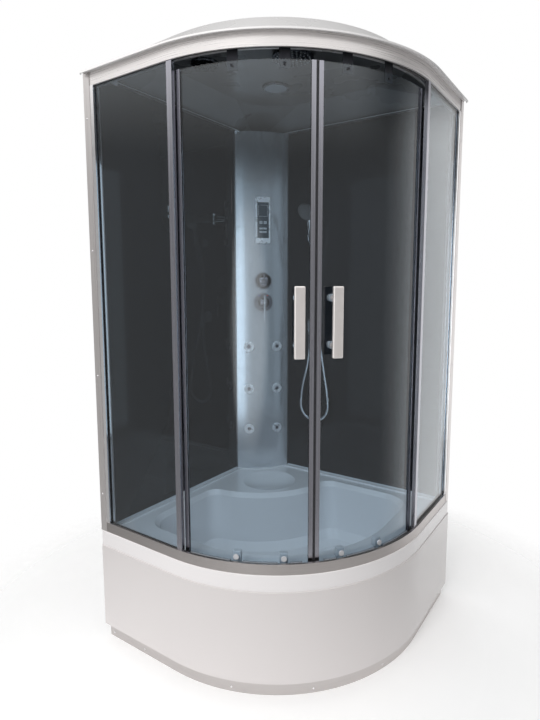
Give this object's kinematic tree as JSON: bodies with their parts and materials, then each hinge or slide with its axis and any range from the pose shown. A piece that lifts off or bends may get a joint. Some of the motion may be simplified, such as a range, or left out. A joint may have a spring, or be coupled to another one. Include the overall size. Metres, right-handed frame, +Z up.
{
  "type": "hydromassage shower cabin",
  "caption": "Quarter-round shower cabin with a deep tray, curved sliding glass doors, dark rear walls, domed roof and a corner column with jets, mixer and hand shower.",
  "frame": {"origin": "centre of the bounding box on the floor", "axes": "+Z up; the rear walls are at -X and +Y, and the entrance faces +X and -Y"},
  "size_m": [1.013, 1.013, 2.129],
  "materials": {
    "tray_acrylic": "smooth pale acrylic",
    "apron_gloss": "glossy white acrylic",
    "plinth_metal": "satin white",
    "zinc_steel": "zinc plated",
    "chrome": "polished",
    "grey_plastic": "matt",
    "satin_aluminium": "satin anodised",
    "strip_aluminium": "bright anodised",
    "smoked_glass": "tempered, smoke tint",
    "dark_metal": "black satin",
    "clear_glass": "tempered",
    "dark_panel": "gloss",
    "pale_plastic": "satin",
    "column_silver": "metallic satin",
    "bezel_chrome": "satin",
    "screen_gloss": "gloss",
    "button_silver": "satin",
    "brass": "cast",
    "roof_gloss": "gloss",
    "lamp_lens": "frosted",
    "chrome_hose": "spiral wound"
  },
  "bodies": {
    "cabin": {"apron": "apron_gloss", "back_panels": "dark_panel", "bottom_rail": "satin_aluminium", "ceiling_covers": "chrome", "ceiling_light_lens": "lamp_lens", "column_shell": "column_silver", "control_bezel": "bezel_chrome", "control_screen": "screen_gloss", "door_posts": "strip_aluminium", "drain_grid": "chrome", "drain_trap": "grey_plastic", "drain_waste": "chrome", "fixed_glass": "smoked_glass", "frame_profiles": "satin_aluminium", "glass_channels": "chrome", "holder_base": "chrome", "hose_outlet": "chrome", "jet_rings": "chrome", "levelling_feet": "zinc_steel", "mixer_valve": "brass", "plinth_strip": "plinth_metal", "rain_head": "chrome", "roof": "roof_gloss", "shelf_brackets": "chrome", "shelf_glass": "clear_glass", "shower_hose": "chrome_hose", "top_rail": "satin_aluminium", "tray": "tray_acrylic", "tray_frame": "zinc_steel", "valve_escutcheons": "chrome", "water_pipes": "grey_plastic"},
    "left_door": {"left_door_glass": "smoked_glass", "left_door_strips": "strip_aluminium", "left_handle": "chrome", "left_carriers": "dark_metal", "left_bottom_guides": "pale_plastic"},
    "left_wheel_1": {"left_wheel_1": "pale_plastic"},
    "left_wheel_2": {"left_wheel_2": "pale_plastic"},
    "right_door": {"right_door_glass": "smoked_glass", "right_door_strips": "strip_aluminium", "right_handle": "chrome", "right_carriers": "dark_metal", "right_bottom_guides": "pale_plastic"},
    "right_wheel_1": {"right_wheel_1": "pale_plastic"},
    "right_wheel_2": {"right_wheel_2": "pale_plastic"},
    "arrow_left_button": {"arrow_left_button": "button_silver"},
    "arrow_right_button": {"arrow_right_button": "button_silver"},
    "lamp_button": {"lamp_button": "button_silver"},
    "power_button": {"power_button": "button_silver"},
    "diverter_knob": {"diverter_knob": "chrome"},
    "mixer_knob": {"mixer_knob": "chrome"},
    "mixer_lever": {"mixer_lever": "chrome"},
    "nozzle_1": {"nozzle_1": "chrome"},
    "nozzle_2": {"nozzle_2": "chrome"},
    "nozzle_3": {"nozzle_3": "chrome"},
    "nozzle_4": {"nozzle_4": "chrome"},
    "nozzle_5": {"nozzle_5": "chrome"},
    "nozzle_6": {"nozzle_6": "chrome"},
    "hand_set": {"holder_cup": "chrome", "hand_shower": "chrome"}
  },
  "joints": [
    {"name": "left_door_slide", "type": "hinge", "parent": "cabin", "child": "left_door", "pos_m": [-0.1425, 0.1425, 1.2], "axis": [0, 0, 1], "range_deg": [-21, 0]},
    {"name": "right_door_slide", "type": "hinge", "parent": "cabin", "child": "right_door", "pos_m": [-0.1425, 0.1425, 1.2], "axis": [0, 0, 1], "range_deg": [0, 21]},
    {"name": "left_wheel_1_spin", "type": "hinge", "parent": "left_door", "child": "left_wheel_1", "pos_m": [0.20647, -0.33781, 2.0051], "axis": [0.5878, -0.809, 0], "range_deg": [0, 1255]},
    {"name": "left_wheel_2_spin", "type": "hinge", "parent": "left_door", "child": "left_wheel_2", "pos_m": [0.07509, -0.40989, 2.0051], "axis": [0.3665, -0.9304, 0], "range_deg": [0, 1255]},
    {"name": "right_wheel_1_spin", "type": "hinge", "parent": "right_door", "child": "right_wheel_1", "pos_m": [0.33781, -0.20647, 2.0051], "axis": [0.809, -0.5878, 0], "range_deg": [-1255, 0]},
    {"name": "right_wheel_2_spin", "type": "hinge", "parent": "right_door", "child": "right_wheel_2", "pos_m": [0.40989, -0.07509, 2.0051], "axis": [0.9304, -0.3665, 0], "range_deg": [-1255, 0]},
    {"name": "arrow_left_press", "type": "slide", "parent": "cabin", "child": "arrow_left_button", "axis": [-0.7071, 0.7071, 0], "range_m": [0, 0.001], "stiffness_N_per_m": 300},
    {"name": "arrow_right_press", "type": "slide", "parent": "cabin", "child": "arrow_right_button", "axis": [-0.7071, 0.7071, 0], "range_m": [0, 0.001], "stiffness_N_per_m": 300},
    {"name": "lamp_press", "type": "slide", "parent": "cabin", "child": "lamp_button", "axis": [-0.7071, 0.7071, 0], "range_m": [0, 0.001], "stiffness_N_per_m": 300},
    {"name": "power_press", "type": "slide", "parent": "cabin", "child": "power_button", "axis": [-0.7071, 0.7071, 0], "range_m": [0, 0.001], "stiffness_N_per_m": 300},
    {"name": "diverter_turn", "type": "hinge", "parent": "cabin", "child": "diverter_knob", "pos_m": [-0.37356, 0.37356, 1.342], "axis": [0.7071, -0.7071, 0], "range_deg": [-60, 60]},
    {"name": "mixer_turn", "type": "hinge", "parent": "cabin", "child": "mixer_knob", "pos_m": [-0.37356, 0.37356, 1.241], "axis": [0.7071, -0.7071, 0], "range_deg": [-40, 40]},
    {"name": "lever_lift", "type": "hinge", "parent": "mixer_knob", "child": "mixer_lever", "pos_m": [-0.35483, 0.35483, 1.241], "axis": [0.7071, 0.7071, 0], "range_deg": [-20, 0]},
    {"name": "nozzle_1_swivel", "type": "hinge", "parent": "cabin", "child": "nozzle_1", "pos_m": [-0.44383, 0.34743, 1.026], "axis": [0, 0, 1], "range_deg": [-12, 12]},
    {"name": "nozzle_2_swivel", "type": "hinge", "parent": "cabin", "child": "nozzle_2", "pos_m": [-0.34743, 0.44383, 1.026], "axis": [0, 0, 1], "range_deg": [-12, 12]},
    {"name": "nozzle_3_swivel", "type": "hinge", "parent": "cabin", "child": "nozzle_3", "pos_m": [-0.44383, 0.34743, 0.818], "axis": [0, 0, 1], "range_deg": [-12, 12]},
    {"name": "nozzle_4_swivel", "type": "hinge", "parent": "cabin", "child": "nozzle_4", "pos_m": [-0.34743, 0.44383, 0.818], "axis": [0, 0, 1], "range_deg": [-12, 12]},
    {"name": "nozzle_5_swivel", "type": "hinge", "parent": "cabin", "child": "nozzle_5", "pos_m": [-0.44383, 0.34743, 0.618], "axis": [0, 0, 1], "range_deg": [-12, 12]},
    {"name": "nozzle_6_swivel", "type": "hinge", "parent": "cabin", "child": "nozzle_6", "pos_m": [-0.34743, 0.44383, 0.618], "axis": [0, 0, 1], "range_deg": [-12, 12]},
    {"name": "holder_tilt", "type": "hinge", "parent": "cabin", "child": "hand_set", "pos_m": [-0.15, 0.462, 1.545], "axis": [1, 0, 0], "range_deg": [-15, 6], "deforming": ["shower_hose"]}
  ],
  "couplings": [
    {"joint": "left_wheel_1_spin", "follows": "left_door_slide", "ratio": -59.37},
    {"joint": "left_wheel_2_spin", "follows": "left_door_slide", "ratio": -59.37},
    {"joint": "right_wheel_1_spin", "follows": "right_door_slide", "ratio": -59.37},
    {"joint": "right_wheel_2_spin", "follows": "right_door_slide", "ratio": -59.37}
  ]
}
